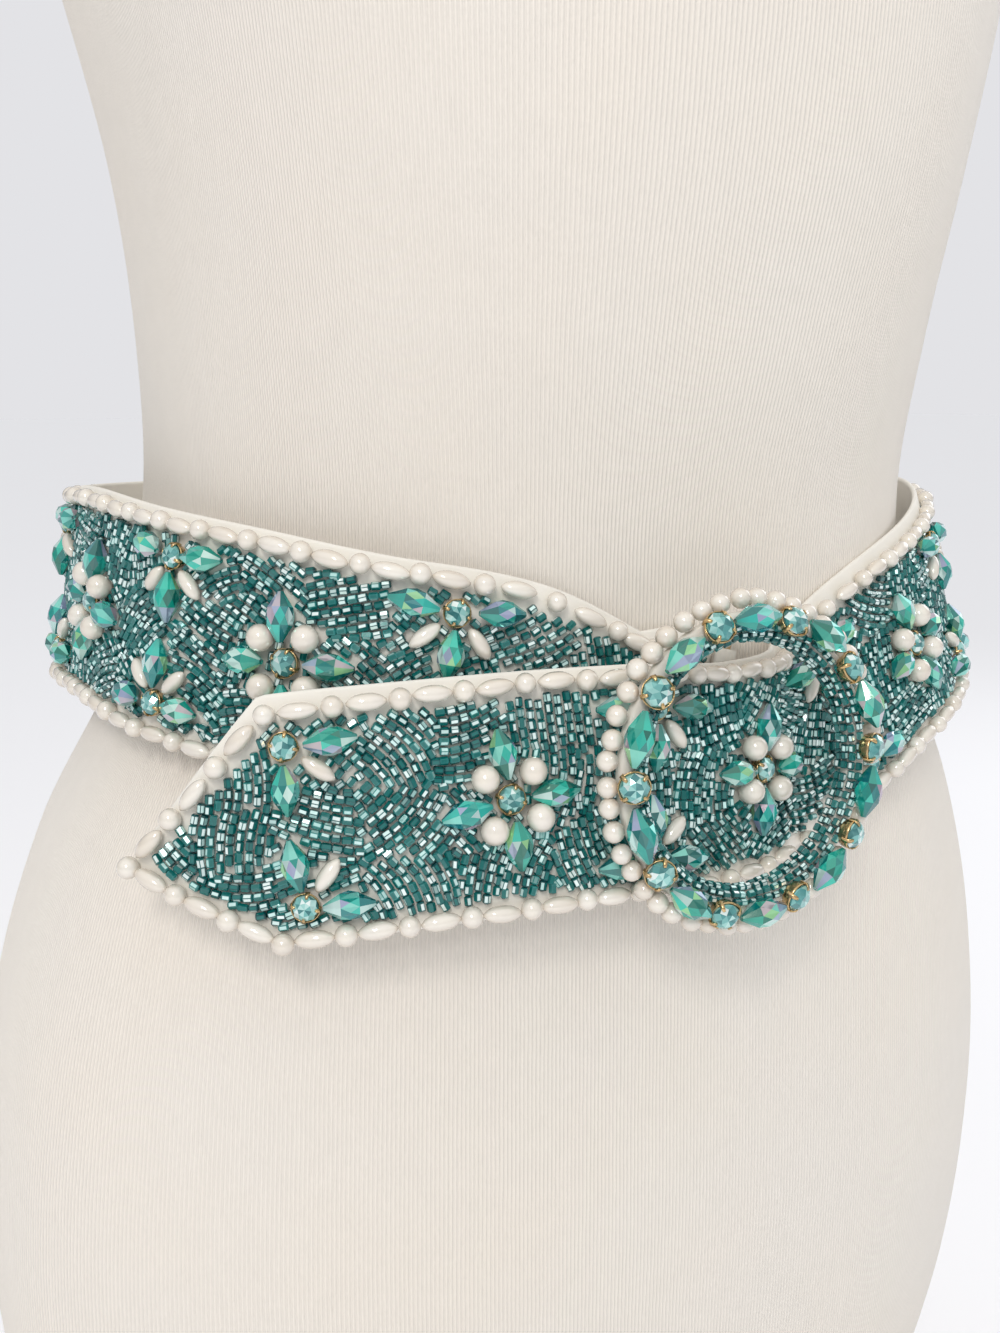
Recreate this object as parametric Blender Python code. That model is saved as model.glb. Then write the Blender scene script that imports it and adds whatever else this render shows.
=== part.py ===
"""Beaded belt with a round buckle, fastened round a limbless dress form.

Metres, +Z up. The form's flat base stands on z = 0 with its middle at the
origin, its front faces -Y. An angle round the form is measured from the
middle of its front towards +X, in degrees. A length along the belt is
measured from the tip of its point, under the buckle, once round the form and
back to the buckle's bar. Across the belt, + is up. Sizes are in millimetres
until a mesh is made.
"""
import bisect
import math
from collections import namedtuple

import bmesh
import bpy
from mathutils import Vector

MM = 0.001
GAP = 0.3
SHARP_ANGLE = 50
OVAL_BLEND = 3.0

# Dress form: one smooth covered torso, from a flat base to the neck's flat top
Section = namedtuple("Section", "height half_width front back")
FORM_SECTIONS = (
    Section(0, 112, 86, 104),
    Section(30, 133, 92.5, 111),
    Section(65, 152, 95.5, 117),
    Section(125, 170, 102, 120),
    Section(190, 175, 104, 118),
    Section(250, 168, 102, 112),
    Section(300, 151.5, 100, 105),
    Section(345, 127, 98.5, 98),
    Section(395, 116, 99, 90),
    Section(440, 115.5, 109, 84),
    Section(485, 120, 119, 83),
    Section(530, 130, 122, 87),
    Section(580, 143, 119, 94),
    Section(640, 151, 108, 100),
    Section(700, 155, 92, 103),
    Section(750, 155, 77, 99),
    Section(785, 144, 64, 89),
    Section(810, 118, 55, 77),
    Section(832, 82, 50, 65),
    Section(855, 60, 48, 57),
    Section(885, 55, 46, 53),
)
FORM_SQUARENESS = 2.45
FORM_SIDES = 44
FORM_RING_STEP = 34.0

# Belt: the plan of its path, and where it stands off, leans and climbs
BELT_HALF_WIDTH = 132.8
BELT_FRONT = 102.0
BELT_BACK = 98.1
BELT_SQUARENESS = 2.476
Stop = namedtuple("Stop", "angle height lift lean")
BELT_STOPS = (
    Stop(-75, 319.1, 29.8, 9.1),
    Stop(-60, 325.9, 26.3, 6.7),
    Stop(-45, 331.4, 21.2, 6.3),
    Stop(-30, 333.6, 15.8, 9.8),
    Stop(-15, 333.5, 13.9, 7.6),
    Stop(0, 330.6, 9.7, 7.0),
    Stop(14, 332.3, 3.2, 3.2),
    Stop(30, 348.0, 2.8, 11.6),
    Stop(45, 357.5, 2.5, 15.0),
    Stop(70, 368.4, 2.4, 14.6),
    Stop(100, 367.1, 1.1, 13.4),
    Stop(130, 365.3, 0.8, 12.1),
    Stop(180, 367.5, 0.9, 10.2),
    Stop(225, 368.0, 1.5, 9.4),
    Stop(250, 369.3, 5.2, 8.6),
    Stop(270, 371.2, 2.0, 7.6),
    Stop(285, 369.0, 0.2, 9.5),
    Stop(300, 365.5, 1.0, 9.3),
    Stop(315, 360.1, 5.9, 6.9),
    Stop(330, 353.0, 2.6, 5.6),
    Stop(345, 338.3, 1.7, 4.3),
    Stop(352, 338.6, 0.6, 3.7),
    Stop(358, 335.8, 0, 3.0),
)
TIP_ANGLE = -64.2
END_ANGLE = 358.0

# Band: cloth wall with its bead field, a thin hem under the edge pearls
FIELD_HALF = 23.0
HEM_HALF = 26.6
BAND_INSIDE = -1.5
BAND_OUTSIDE = 1.5
HEM_TOP = -0.4
BAND_STEP = 8.0
FIELD_LEAST = 0.4
FIELD_RISE = 0.05
TIP_CUT = 3.2

# The point: where its tip lies below the middle, and where its corners are
POINT_TIP = 2.7
TIP_LINE = -6.5
TOP_CORNER = 40.2
BOTTOM_CORNER = 37.2

# Edge pearls: a round one and a rice-shaped one by turns
PEARL_PAIR = 14.4
PEARL_RADIUS = 2.6
RICE_RADIUS = 2.15
STRAND_NECK = 1.1
STRAND_JOIN = 0.2
STRAND_SIDES = 5
TURN_REACH = 1.5
EDGE_LINE = FIELD_HALF + GAP + PEARL_RADIUS
EDGE_HEIGHT = HEM_TOP + GAP + PEARL_RADIUS

# Flowers: a stone in a cup, pearls on the diagonals, faceted beads between
FACET_RADIUS = 3.5
FLOWER_PEARL_RADIUS = 3.45
FLOWER_PEARL_LINE = 8.1
FLOWER_REACH = 17.2
FLOWER_DIP = 7.0
DIP_HEIGHT = 3.0
CLUSTER_LINE = 18.3
CLUSTER_STONE = 3.3
CLUSTER_REACH = 16.3
CLUSTER_RICE = 13.2
RELIEF_GAP = 0.6

# A relief's rings, from the middle of its underside to the middle of its top
Level = namedtuple("Level", "share rise")
RELIEF_LEVELS = (
    Level(0.1, 0.0),
    Level(0.55, 0.0),
    Level(1.0, 0.0),
    Level(0.72, 1.0),
    Level(0.24, 0.72),
)

# A cluster's outline on the top edge: directions in degrees, lengths in mm
Spoke = namedtuple("Spoke", "direction reach height")
CLUSTER_SPOKES = (
    Spoke(90, CLUSTER_STONE, 3.4),
    Spoke(35, CLUSTER_STONE, 3.4),
    Spoke(2, CLUSTER_REACH, 1.5 * FACET_RADIUS),
    Spoke(-18, 8.0, DIP_HEIGHT),
    Spoke(-45, CLUSTER_RICE, 1.8 * RICE_RADIUS),
    Spoke(-68, 7.5, DIP_HEIGHT),
    Spoke(-90, CLUSTER_REACH, 1.5 * FACET_RADIUS),
    Spoke(-112, 7.5, DIP_HEIGHT),
    Spoke(-135, CLUSTER_RICE, 1.8 * RICE_RADIUS),
    Spoke(-162, 8.0, DIP_HEIGHT),
    Spoke(-182, CLUSTER_REACH, 1.5 * FACET_RADIUS),
    Spoke(-215, CLUSTER_STONE, 3.4),
)
HALF_CLUSTER_END = -112

# Buckle: a padded ring, a bar behind it, pearls round its rim, beads on it
BUCKLE_CENTRE = (-6.3, -122.5, 337.3)
BUCKLE_LEAN = 5.0
BUCKLE_INNER = 31.5
BUCKLE_OUTER = 37.0
BUCKLE_THICKNESS = 3.4
BUCKLE_SEGMENTS = 44
BUCKLE_BACK_BEVEL = 1.0
BUCKLE_BACK_RISE = 0.8
BUCKLE_FRONT_BEVEL = 1.3
BUCKLE_FRONT_FALL = 1.1
RIM_PEARL_GAP = 0.25
RIM_HEIGHT = 1.9
GARLAND_RADIUS = 3.7
GARLAND_INSET = 3.9
GARLAND_PHASE = 0.0
GARLAND_PAIRS = 10
GARLAND_SIDES = 6

# One pair of the garland, a stone and a faceted bead, by share of the pair
Bead = namedtuple("Bead", "share radius")
GARLAND_STONE = 0.18
GARLAND_PAIR = (
    Bead(0.0, 1.8),
    Bead(GARLAND_STONE, GARLAND_RADIUS),
    Bead(0.36, 1.8),
    Bead(0.57, GARLAND_RADIUS - 0.2),
    Bead(0.79, GARLAND_RADIUS - 0.2),
)
BAR_RADIUS = 1.3
BAR_BEYOND = 0.9
BAR_OUT = 1.8
BAR_TOP = 30.0
BAR_BOTTOM = 35.5
BAR_BOW = 2.0
BAR_BEND = 0.8
BAR_FOOT = 2.5
ANCHOR_INSET = 2.0
LOOP_THICKNESS = 1.1
LOOP_HALF = 26.0
LOOP_SIDES = 14


def spline(rows, x, column):
    """Value of a table's column at x: a smooth curve through its rows."""
    places = [row[0] for row in rows]
    i = min(max(bisect.bisect_right(places, x) - 1, 0), len(rows) - 2)

    def slope(k):
        low, high = max(k - 1, 0), min(k + 1, len(rows) - 1)
        rise = getattr(rows[high], column) - getattr(rows[low], column)
        return rise / (places[high] - places[low])

    width = places[i + 1] - places[i]
    t = (x - places[i]) / width
    start, end = getattr(rows[i], column), getattr(rows[i + 1], column)
    return (
        start * (1 + 2 * t) * (1 - t) ** 2
        + slope(i) * width * t * (1 - t) ** 2
        + end * t * t * (3 - 2 * t)
        + slope(i + 1) * width * t * t * (t - 1)
    )


def oval(angle, half_width, front, back, squareness):
    """Radius of a squarish oval at an angle from the middle of its front."""
    side, ahead = math.sin(angle), math.cos(angle)
    share = 0.5 * (1 + math.tanh(OVAL_BLEND * ahead))
    depth = back + (front - back) * share
    power = abs(side / half_width) ** squareness + abs(ahead / depth) ** squareness
    return power ** (-1 / squareness)


def form_point(angle, height):
    radius = oval(
        math.radians(angle),
        spline(FORM_SECTIONS, height, "half_width"),
        spline(FORM_SECTIONS, height, "front"),
        spline(FORM_SECTIONS, height, "back"),
        FORM_SQUARENESS,
    )
    turn = math.radians(angle)
    return Vector((math.sin(turn) * radius, -math.cos(turn) * radius, height))


def belt_middle(angle):
    turn = math.radians(angle)
    radius = oval(turn, BELT_HALF_WIDTH, BELT_FRONT, BELT_BACK, BELT_SQUARENESS)
    radius += spline(BELT_STOPS, angle, "lift")
    height = spline(BELT_STOPS, angle, "height")
    return Vector((math.sin(turn) * radius, -math.cos(turn) * radius, height))


class Belt:
    """The belt's middle line, with its directions along, across and outward."""

    def __init__(self, step=0.5):
        count = int(round((END_ANGLE - TIP_ANGLE) / step))
        self.angles = [TIP_ANGLE + (END_ANGLE - TIP_ANGLE) * i / count for i in range(count + 1)]
        self.points = [belt_middle(a) for a in self.angles]
        self.lengths = [0.0]
        for a, b in zip(self.points, self.points[1:]):
            self.lengths.append(self.lengths[-1] + (b - a).length)
        self.length = self.lengths[-1]

    def angle(self, along):
        i = min(max(bisect.bisect_right(self.lengths, along) - 1, 0), len(self.lengths) - 2)
        share = (along - self.lengths[i]) / (self.lengths[i + 1] - self.lengths[i])
        return self.angles[i] + share * (self.angles[i + 1] - self.angles[i])

    def along(self, angle):
        share = (angle - TIP_ANGLE) / (END_ANGLE - TIP_ANGLE) * (len(self.angles) - 1)
        i = min(int(share), len(self.angles) - 2)
        return self.lengths[i] + (share - i) * (self.lengths[i + 1] - self.lengths[i])

    def frame(self, along):
        angle = self.angle(along)
        middle = belt_middle(angle)
        tangent = (belt_middle(angle + 0.5) - belt_middle(angle - 0.5)).normalized()
        level = Vector((tangent.y, -tangent.x, 0)).normalized()
        lean = math.radians(spline(BELT_STOPS, angle, "lean"))
        across = Vector((0, 0, math.cos(lean))) - level * math.sin(lean)
        across = (across - tangent * across.dot(tangent)).normalized()
        return middle, tangent, across, tangent.cross(across)

    def point(self, along, across, height):
        middle, _, up, out = self.frame(along)
        return middle + up * across + out * height


def edge_at(along, full, side):
    """Where a layer of the band ends above (side 1) or below (-1) its middle."""
    corner = TOP_CORNER if side > 0 else BOTTOM_CORNER
    if along >= corner:
        return side * full
    rise = (side * EDGE_LINE - TIP_LINE) / (corner - POINT_TIP)
    pearls = TIP_LINE + rise * (along - POINT_TIP)
    return pearls - side * (EDGE_LINE - full) * math.hypot(1, rise)


def mesh_from_rings(rings, closed=False):
    """A closed body through rings of equal count, capped unless it closes up."""
    mesh = bmesh.new()
    rows = [[mesh.verts.new(p * MM) for p in ring] for ring in rings]
    pairs = list(zip(rows, rows[1:] + rows[:1])) if closed else list(zip(rows, rows[1:]))
    for low, high in pairs:
        for i in range(len(low)):
            j = (i + 1) % len(low)
            mesh.faces.new((low[i], low[j], high[j], high[i]))
    if not closed:
        mesh.faces.new(rows[0][::-1])
        mesh.faces.new(rows[-1])
    bmesh.ops.triangulate(mesh, faces=[f for f in mesh.faces if len(f.verts) > 4])
    bmesh.ops.recalc_face_normals(mesh, faces=mesh.faces)
    return mesh


def material(name, colour, roughness, metallic=0.0):
    found = bpy.data.materials.get(name)
    if found:
        return found
    made = bpy.data.materials.new(name)
    made.use_nodes = True
    shader = made.node_tree.nodes["Principled BSDF"]
    shader.inputs["Base Color"].default_value = (*colour, 1)
    shader.inputs["Roughness"].default_value = roughness
    shader.inputs["Metallic"].default_value = metallic
    return made


JERSEY = ("cream jersey", (0.80, 0.76, 0.68), 0.85)
BEADWORK = ("teal beadwork", (0.06, 0.24, 0.25), 0.3)
PEARL = ("cream pearl", (0.90, 0.86, 0.78), 0.25)
CRYSTAL = ("teal crystal", (0.10, 0.62, 0.55), 0.1)
BACKING = ("cream cloth", (0.86, 0.83, 0.76), 0.8)
WIRE = ("brass wire", (0.6, 0.5, 0.3), 0.3, 1.0)


def add_object(name, mesh, look, collection):
    data = bpy.data.meshes.new(name)
    mesh.to_mesh(data)
    mesh.free()
    made = bpy.data.objects.new(name, data)
    made.data.materials.append(material(*look))
    data.shade_smooth()
    data.set_sharp_from_angle(angle=math.radians(SHARP_ANGLE))
    collection.objects.link(made)
    return made


def make_form(collection):
    top = FORM_SECTIONS[-1].height
    count = int(round(top / FORM_RING_STEP))
    rings = []
    for i in range(count + 1):
        height = top * i / count
        rings.append([form_point(360 * k / FORM_SIDES, height) for k in range(FORM_SIDES)])
    add_object("dress_form", mesh_from_rings(rings), JERSEY, collection)


def band_ring(belt, along):
    """The band's cut: a raised bead field between two thin hems."""
    hem_low, hem_top = edge_at(along, HEM_HALF, -1), edge_at(along, HEM_HALF, 1)
    low, top, face = edge_at(along, FIELD_HALF, -1), edge_at(along, FIELD_HALF, 1), BAND_OUTSIDE
    if top - low < FIELD_LEAST:
        middle = 0.5 * (hem_low + hem_top)
        low, top = middle - 0.5 * FIELD_LEAST, middle + 0.5 * FIELD_LEAST
        face = HEM_TOP + FIELD_RISE
    outline = (
        (hem_low, BAND_INSIDE),
        (hem_top, BAND_INSIDE),
        (hem_top, HEM_TOP),
        (top, HEM_TOP),
        (top, face),
        (low, face),
        (low, HEM_TOP),
        (hem_low, HEM_TOP),
    )
    return [belt.point(along, across, height) for across, height in outline]


def make_band(belt, name, start, end, collection):
    count = max(2, int(math.ceil((end - start) / BAND_STEP)))
    stations = [start + (end - start) * i / count for i in range(count + 1)]
    if start < TOP_CORNER < end:
        stations = sorted(stations + [TOP_CORNER, BOTTOM_CORNER])
    rings = [band_ring(belt, s) for s in stations]
    return add_object(name, mesh_from_rings(rings), BEADWORK, collection)


def strand_stations(spans, first=0.0):
    """Places and radii along a strand: round pearls at each end of a span and
    between the rice pearls inside it, with a neck on each side of them."""
    end = PEARL_RADIUS - STRAND_JOIN
    found = [(first - end, STRAND_NECK)]
    for span in spans:
        pairs = max(1, int(round(span / PEARL_PAIR)))
        pitch = span / pairs
        for i in range(pairs):
            middle = first + i * pitch
            found.append((middle, PEARL_RADIUS))
            found.append((middle + PEARL_RADIUS, STRAND_NECK))
            found.append((middle + 0.5 * pitch, RICE_RADIUS))
            found.append((middle + pitch - PEARL_RADIUS, STRAND_NECK))
        first += span
    return found + [(first, PEARL_RADIUS), (first + end, STRAND_NECK)]


def tube(path, stations, sides, closed=False):
    """A tube of changing radius; path gives a point and two cross directions."""
    rings = []
    for place, radius in stations:
        middle, side, up = path(place)
        ring = []
        for k in range(sides):
            turn = 2 * math.pi * k / sides
            ring.append(middle + side * radius * math.cos(turn) + up * radius * math.sin(turn))
        rings.append(ring)
    return mesh_from_rings(rings, closed)


def make_edge(belt, name, line, start, end, collection):
    def path(along):
        middle, _, across, out = belt.frame(along)
        return middle + across * line + out * EDGE_HEIGHT, across, out

    span = end - start - 2 * PEARL_RADIUS
    mesh = tube(path, strand_stations([span], start + PEARL_RADIUS), STRAND_SIDES)
    return add_object(name, mesh, PEARL, collection)


def make_point_edge(belt, name, end, collection):
    """The strand from the top edge, round the point, to the bottom edge."""
    last = end - PEARL_RADIUS
    corners = (
        (last, EDGE_LINE),
        (TOP_CORNER, EDGE_LINE),
        (POINT_TIP, TIP_LINE),
        (BOTTOM_CORNER, -EDGE_LINE),
        (last, -EDGE_LINE),
    )
    spans = [math.dist(a, b) for a, b in zip(corners, corners[1:])]

    def flat(place):
        for a, b, span in zip(corners, corners[1:], spans):
            if place <= span or b == corners[-1]:
                share = place / span
                return a[0] + share * (b[0] - a[0]), a[1] + share * (b[1] - a[1])
            place -= span

    def path(place):
        along, line = flat(place)
        before, after = flat(place - TURN_REACH), flat(place + TURN_REACH)
        middle, tangent, across, out = belt.frame(along)
        step = tangent * (after[0] - before[0]) + across * (after[1] - before[1])
        side = out.cross(step).normalized()
        return middle + across * line + out * EDGE_HEIGHT, side, out

    mesh = tube(path, strand_stations(spans), STRAND_SIDES)
    return add_object(name, mesh, PEARL, collection)


def relief(belt, along, line, spokes):
    """A bead cluster as one low body that follows the band under it."""
    floor = BAND_OUTSIDE + RELIEF_GAP
    rings = []
    for level in RELIEF_LEVELS:
        ring = []
        for spoke in spokes:
            direction = math.radians(spoke.direction)
            reach = spoke.reach * level.share
            ring.append(
                belt.point(
                    along + reach * math.cos(direction),
                    line + reach * math.sin(direction),
                    floor + spoke.height * level.rise,
                )
            )
        rings.append(ring)
    return mesh_from_rings(rings)


def make_flower(belt, name, along, turn, collection):
    """Four faceted beads round a stone, and a pearl between each two."""
    pearl_reach = FLOWER_PEARL_LINE + FLOWER_PEARL_RADIUS
    spokes = []
    for k in range(4):
        axis = turn + 90 * k
        spokes.append(Spoke(axis, FLOWER_REACH, 1.6 * FACET_RADIUS))
        spokes.append(Spoke(axis + 22.5, FLOWER_DIP, DIP_HEIGHT))
        spokes.append(Spoke(axis + 45, pearl_reach, 2 * FLOWER_PEARL_RADIUS))
        spokes.append(Spoke(axis + 67.5, FLOWER_DIP, DIP_HEIGHT))
    return add_object(name, relief(belt, along, 0, spokes), CRYSTAL, collection)


def make_cluster(belt, name, along, side, whole, collection):
    """Half a flower on the band's edge, its stone beside the edge pearls. One
    that isn't whole has no beads on the side of the belt's tip."""
    spokes = []
    for s in CLUSTER_SPOKES:
        kept = whole or s.direction > HALF_CLUSTER_END
        reach, height = (s.reach, s.height) if kept else (CLUSTER_STONE, DIP_HEIGHT)
        spokes.append(Spoke(s.direction * side, reach, height))
    return add_object(name, relief(belt, along, side * CLUSTER_LINE, spokes), CRYSTAL, collection)


def buckle_axes():
    lean = math.radians(BUCKLE_LEAN)
    right = Vector((1, 0, 0))
    up = Vector((0, math.sin(lean), math.cos(lean)))
    return Vector(BUCKLE_CENTRE), right, up, right.cross(up)


def make_buckle(collection):
    """Ring, rim pearls and bead garland, all turned round one leaning axis."""
    centre, right, up, out = buckle_axes()

    def spoke(turn):
        return right * math.cos(turn) + up * math.sin(turn)

    half = 0.5 * (BUCKLE_OUTER - BUCKLE_INNER)
    middle = 0.5 * (BUCKLE_OUTER + BUCKLE_INNER)
    outline = (
        (-half, BUCKLE_BACK_RISE),
        (-half + BUCKLE_BACK_BEVEL, 0),
        (half - BUCKLE_BACK_BEVEL, 0),
        (half, BUCKLE_BACK_RISE),
        (half, BUCKLE_THICKNESS - BUCKLE_FRONT_FALL),
        (half - BUCKLE_FRONT_BEVEL, BUCKLE_THICKNESS),
        (-half + BUCKLE_FRONT_BEVEL, BUCKLE_THICKNESS),
        (-half, BUCKLE_THICKNESS - BUCKLE_FRONT_FALL),
    )
    rings = []
    for i in range(BUCKLE_SEGMENTS):
        arm = spoke(2 * math.pi * i / BUCKLE_SEGMENTS)
        rings.append([centre + arm * (middle + r) + out * h for r, h in outline])
    add_object("buckle_ring", mesh_from_rings(rings, True), BACKING, collection)

    def circle(radius, height):
        def path(turn):
            arm = spoke(turn)
            return centre + arm * radius + out * height, arm, out

        return path

    rim_radius = BUCKLE_OUTER + GAP + PEARL_RADIUS
    count = int(2 * math.pi * rim_radius // (2 * PEARL_RADIUS + RIM_PEARL_GAP))
    stations = []
    for i in range(count):
        turn = 2 * math.pi / count
        stations.append((i * turn, STRAND_NECK))
        stations.append(((i + 0.5) * turn, PEARL_RADIUS))
    mesh = tube(circle(rim_radius, RIM_HEIGHT), stations, STRAND_SIDES, True)
    add_object("buckle_rim_pearls", mesh, PEARL, collection)

    pair = 2 * math.pi / GARLAND_PAIRS
    first = math.radians(GARLAND_PHASE) - GARLAND_STONE * pair
    stations = []
    for i in range(GARLAND_PAIRS):
        stations += [(first + (i + bead.share) * pair, bead.radius) for bead in GARLAND_PAIR]
    path = circle(rim_radius - GARLAND_INSET, BUCKLE_THICKNESS + GAP + GARLAND_RADIUS)
    mesh = tube(path, stations, GARLAND_SIDES, True)
    add_object("buckle_beads", mesh, CRYSTAL, collection)


def make_bar(belt, collection):
    """The bar behind the strap, bowed back, and the strap's end round it."""
    end, tangent, bar_up, bar_out = belt.frame(belt.length)
    bar_middle = end + tangent * BAR_BEYOND + bar_out * BAR_OUT
    centre, _, _, out = buckle_axes()
    arm = (bar_up - out * bar_up.dot(out)).normalized()
    reach = BUCKLE_OUTER - ANCHOR_INSET
    points = []
    for side, half in ((-1, BAR_BOTTOM), (1, BAR_TOP)):
        anchor = centre + arm * side * reach - out * (GAP + BAR_RADIUS)
        elbow = bar_middle + bar_up * side * half
        bend = elbow.lerp(anchor, BAR_BEND) + arm * side * BAR_BOW
        leg = [elbow, bend, anchor, anchor - arm * side * BAR_FOOT]
        points += leg[::-1] if side < 0 else leg
    curve = bpy.data.curves.new("buckle_bar", "CURVE")
    curve.dimensions = "3D"
    curve.bevel_depth = BAR_RADIUS * MM
    curve.bevel_resolution = 1
    curve.use_fill_caps = True
    line = curve.splines.new("POLY")
    line.points.add(len(points) - 1)
    for spot, point in zip(line.points, points):
        spot.co = (*(point * MM), 1)
    bar = bpy.data.objects.new("buckle_bar", curve)
    bar.data.materials.append(material(*WIRE))
    collection.objects.link(bar)

    inner = BAR_RADIUS + GAP
    outer = inner + LOOP_THICKNESS
    rings = []
    for k in range(LOOP_SIDES):
        turn = 2 * math.pi * k / LOOP_SIDES
        side = tangent * math.cos(turn) + bar_out * math.sin(turn)
        outline = ((inner, -LOOP_HALF), (outer, -LOOP_HALF), (outer, LOOP_HALF), (inner, LOOP_HALF))
        rings.append([bar_middle + side * r + bar_up * h for r, h in outline])
    add_object("bar_loop", mesh_from_rings(rings, True), BACKING, collection)


# Stretches of band, by the angles where each begins and ends
Stretch = namedtuple("Stretch", "name start end")
STRETCHES = (
    Stretch("over", TIP_ANGLE, 24),
    Stretch("right", 24, 100),
    Stretch("back", 100, 250),
    Stretch("left", 250, 312),
    Stretch("under", 312, 356.6),
)
UNDER_TOP_END = 345.0
UNDER_BOTTOM_END = 333.0

# Whole flowers on the band's middle at an even pitch, each turned a little, and
# half flowers on both edges midway between them and at the point's corners
FIRST_FLOWER = 92.0
FLOWER_PITCH = 74.0
FLOWER_COUNT = 11
FLOWER_TURNS = (6, -8, 11, -4)
CORNER_CLUSTER = 43.5


def cluster_places():
    """Rows of (along, side, whole), the corners' own first."""
    rows = [(CORNER_CLUSTER, 1, False), (CORNER_CLUSTER, -1, False)]
    for i in range(FLOWER_COUNT):
        along = FIRST_FLOWER + (i + 0.5) * FLOWER_PITCH
        rows.append((along, 1, True))
        if i < FLOWER_COUNT - 1:
            rows.append((along, -1, True))
    return rows


def main():
    for old in list(bpy.data.objects):
        bpy.data.objects.remove(old)
    collection = bpy.data.collections.new("beaded belt on a dress form")
    bpy.context.scene.collection.children.link(collection)
    belt = Belt()
    make_form(collection)
    for stretch in STRETCHES:
        start = max(belt.along(stretch.start), TIP_CUT) + GAP / 2
        end = belt.along(stretch.end) - GAP / 2
        make_band(belt, "band_" + stretch.name, start, end, collection)
        if stretch.name == "over":
            make_point_edge(belt, "edge_over", end, collection)
            continue
        under = stretch.name == "under"
        top_end = belt.along(UNDER_TOP_END) if under else end
        bottom_end = belt.along(UNDER_BOTTOM_END) if under else end
        make_edge(belt, "edge_top_" + stretch.name, EDGE_LINE, start, top_end, collection)
        make_edge(belt, "edge_bottom_" + stretch.name, -EDGE_LINE, start, bottom_end, collection)
    for i in range(FLOWER_COUNT):
        along = FIRST_FLOWER + i * FLOWER_PITCH
        turn = FLOWER_TURNS[i % len(FLOWER_TURNS)]
        make_flower(belt, f"flower_{i + 1:02d}", along, turn, collection)
    for i, (along, side, whole) in enumerate(cluster_places()):
        make_cluster(belt, f"cluster_{i + 1:02d}", along, side, whole, collection)
    make_buckle(collection)
    make_bar(belt, collection)


main()
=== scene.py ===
"""Beaded belt with a round buckle on a limbless dress form: the looks.

Sizes are in millimetres until a mesh is made. A place on the belt is given by
its length along the belt from the tip, its distance across from the middle
line (+ is up) and its height outward from the cloth's middle.
"""

import bisect
import math
import random
from collections import namedtuple

import bpy
import numpy as np
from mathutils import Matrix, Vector


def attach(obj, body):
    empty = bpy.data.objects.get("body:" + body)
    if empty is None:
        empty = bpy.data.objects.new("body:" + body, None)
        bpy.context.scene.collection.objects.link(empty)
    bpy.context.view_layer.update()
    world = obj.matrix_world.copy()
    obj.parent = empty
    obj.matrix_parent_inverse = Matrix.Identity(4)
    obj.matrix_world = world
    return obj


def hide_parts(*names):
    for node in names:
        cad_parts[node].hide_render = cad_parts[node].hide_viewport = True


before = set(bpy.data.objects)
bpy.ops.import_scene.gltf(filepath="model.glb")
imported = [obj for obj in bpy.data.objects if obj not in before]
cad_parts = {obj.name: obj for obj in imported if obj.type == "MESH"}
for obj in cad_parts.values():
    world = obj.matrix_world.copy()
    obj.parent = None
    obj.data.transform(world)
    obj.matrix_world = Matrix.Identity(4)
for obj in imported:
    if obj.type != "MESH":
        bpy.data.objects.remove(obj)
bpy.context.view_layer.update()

MM = 0.001

# The dress form and the belt's path, as the solids have them
Section = namedtuple("Section", "height half_width front back")
FORM_SECTIONS = (
    Section(0, 112, 86, 104),
    Section(30, 133, 92.5, 111),
    Section(65, 152, 95.5, 117),
    Section(125, 170, 102, 120),
    Section(190, 175, 104, 118),
    Section(250, 168, 102, 112),
    Section(300, 151.5, 100, 105),
    Section(345, 127, 98.5, 98),
    Section(395, 116, 99, 90),
    Section(440, 115.5, 109, 84),
    Section(485, 120, 119, 83),
    Section(530, 130, 122, 87),
    Section(580, 143, 119, 94),
    Section(640, 151, 108, 100),
    Section(700, 155, 92, 103),
    Section(750, 155, 77, 99),
    Section(785, 144, 64, 89),
    Section(810, 118, 55, 77),
    Section(832, 82, 50, 65),
    Section(855, 60, 48, 57),
    Section(885, 55, 46, 53),
)
FORM_SQUARENESS = 2.45
OVAL_BLEND = 3.0
BELT_HALF_WIDTH = 132.8
BELT_FRONT = 102.0
BELT_BACK = 98.1
BELT_SQUARENESS = 2.476
Stop = namedtuple("Stop", "angle height lift lean")
BELT_STOPS = (
    Stop(-75, 319.1, 29.8, 9.1),
    Stop(-60, 325.9, 26.3, 6.7),
    Stop(-45, 331.4, 21.2, 6.3),
    Stop(-30, 333.6, 15.8, 9.8),
    Stop(-15, 333.5, 13.9, 7.6),
    Stop(0, 330.6, 9.7, 7.0),
    Stop(14, 332.3, 3.2, 3.2),
    Stop(30, 348.0, 2.8, 11.6),
    Stop(45, 357.5, 2.5, 15.0),
    Stop(70, 368.4, 2.4, 14.6),
    Stop(100, 367.1, 1.1, 13.4),
    Stop(130, 365.3, 0.8, 12.1),
    Stop(180, 367.5, 0.9, 10.2),
    Stop(225, 368.0, 1.5, 9.4),
    Stop(250, 369.3, 5.2, 8.6),
    Stop(270, 371.2, 2.0, 7.6),
    Stop(285, 369.0, 0.2, 9.5),
    Stop(300, 365.5, 1.0, 9.3),
    Stop(315, 360.1, 5.9, 6.9),
    Stop(330, 353.0, 2.6, 5.6),
    Stop(345, 338.3, 1.7, 4.3),
    Stop(352, 338.6, 0.6, 3.7),
    Stop(358, 335.8, 0, 3.0),
)
TIP_ANGLE = -64.2
END_ANGLE = 358.0
ANGLE_LEAD = 2
ANGLE_STEP = 0.5
POINT_TIP = 2.7
TIP_LINE = -6.5
TOP_CORNER = 40.2
BOTTOM_CORNER = 37.2
EDGE_LINE = 25.9
EDGE_HEIGHT = 2.5
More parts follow.
